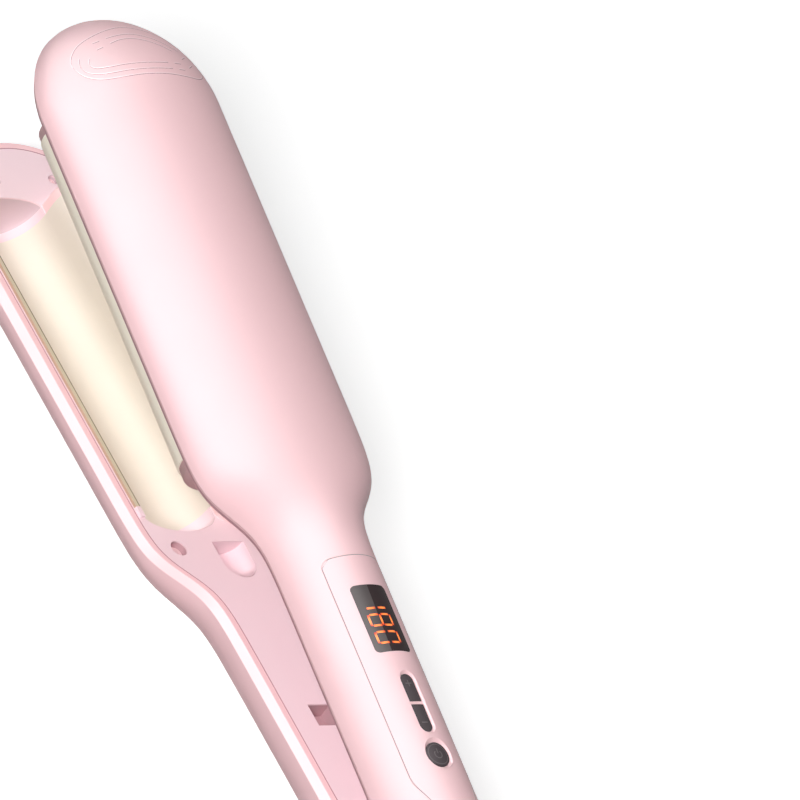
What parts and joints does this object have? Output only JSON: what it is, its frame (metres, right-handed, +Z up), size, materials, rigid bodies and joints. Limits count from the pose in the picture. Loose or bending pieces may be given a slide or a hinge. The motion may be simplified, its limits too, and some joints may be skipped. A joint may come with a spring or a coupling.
{
  "type": "hair waver",
  "caption": "Hair waver with two hinged arms, barrel and trough wave plates, a digital display, a pair of long keys and a round power button.",
  "frame": {"origin": "on the flat belly of the lower arm, straight below the hinge axis", "axes": "+X from the hinge to the tip, +Z up from the belly towards the upper arm, +Y to the side on which the lower arm has its trough"},
  "size_m": [0.3128, 0.0586, 0.0768],
  "materials": {
    "casing_pearl_pink": "glossy pearl",
    "cover_matte_pink": "matte",
    "plate_cream": "cream ceramic coating, satin",
    "ring_pink": "satin",
    "heater_ceramic": "matte",
    "bare_aluminium": "plain",
    "carrier_plastic": "matte",
    "sensor_glass": "glossy",
    "screw_steel": "bright",
    "display_black": "dark tinted, glossy",
    "digit_orange": "lit",
    "board_green": "satin",
    "switch_black": "matte",
    "button_black": "satin",
    "swivel_pink": "satin"
  },
  "bodies": {
    "lower_arm": {"lower_shell": "casing_pearl_pink", "lower_inner_cover": "cover_matte_pink", "lower_wave_plate": "plate_cream", "lower_barrel_tip_cap": "ring_pink", "lower_barrel_neck_cap": "ring_pink", "lower_heater": "heater_ceramic", "lower_heater_saddle": "bare_aluminium", "lower_heater_carrier": "carrier_plastic", "lower_temperature_sensor": "sensor_glass", "lower_thermal_fuse": "bare_aluminium", "lower_cover_screws": "screw_steel", "lower_tip_screws": "screw_steel", "hinge_pin": "screw_steel", "opening_spring": "screw_steel"},
    "upper_arm": {"upper_shell": "casing_pearl_pink", "upper_inner_cover": "cover_matte_pink", "upper_wave_plate": "plate_cream", "upper_barrel_tip_cap": "ring_pink", "upper_barrel_neck_cap": "ring_pink", "upper_heater": "heater_ceramic", "upper_heater_saddle": "bare_aluminium", "upper_heater_carrier": "carrier_plastic", "upper_temperature_sensor": "sensor_glass", "upper_thermal_fuse": "bare_aluminium", "upper_cover_screws": "screw_steel", "upper_tip_screws": "screw_steel", "control_panel": "casing_pearl_pink", "display_window": "display_black", "display_module": "carrier_plastic", "display_digits": "digit_orange", "control_board": "board_green", "board_screws": "screw_steel", "key_switches": "switch_black"},
    "plus_button": {"plus_button": "button_black"},
    "minus_button": {"minus_button": "button_black"},
    "power_button": {"power_button": "button_black"},
    "cord_swivel": {"cord_swivel": "swivel_pink"}
  },
  "joints": [
    {"name": "arm_hinge", "type": "hinge", "parent": "lower_arm", "child": "upper_arm", "pos_m": [0, 0, 0.01905], "axis": [0, -1, 0], "range_deg": [-8, 0], "stiffness_Nm_per_rad": 2, "springref_deg": 14.32, "deforming": ["opening_spring"]},
    {"name": "plus_button_press", "type": "slide", "parent": "upper_arm", "child": "plus_button", "axis": [0.1392, 0, -0.9903], "range_m": [0, 0.0005], "stiffness_N_per_m": 600, "springref_m": -0.001},
    {"name": "minus_button_press", "type": "slide", "parent": "upper_arm", "child": "minus_button", "axis": [0.1392, 0, -0.9903], "range_m": [0, 0.0005], "stiffness_N_per_m": 600, "springref_m": -0.001},
    {"name": "power_button_press", "type": "slide", "parent": "upper_arm", "child": "power_button", "axis": [0.1392, 0, -0.9903], "range_m": [0, 0.0005], "stiffness_N_per_m": 600, "springref_m": -0.001},
    {"name": "cord_turn", "type": "hinge", "parent": "lower_arm", "child": "cord_swivel", "pos_m": [-0.0168, 0, 0.0085], "axis": [1, 0, 0], "continuous": true}
  ]
}
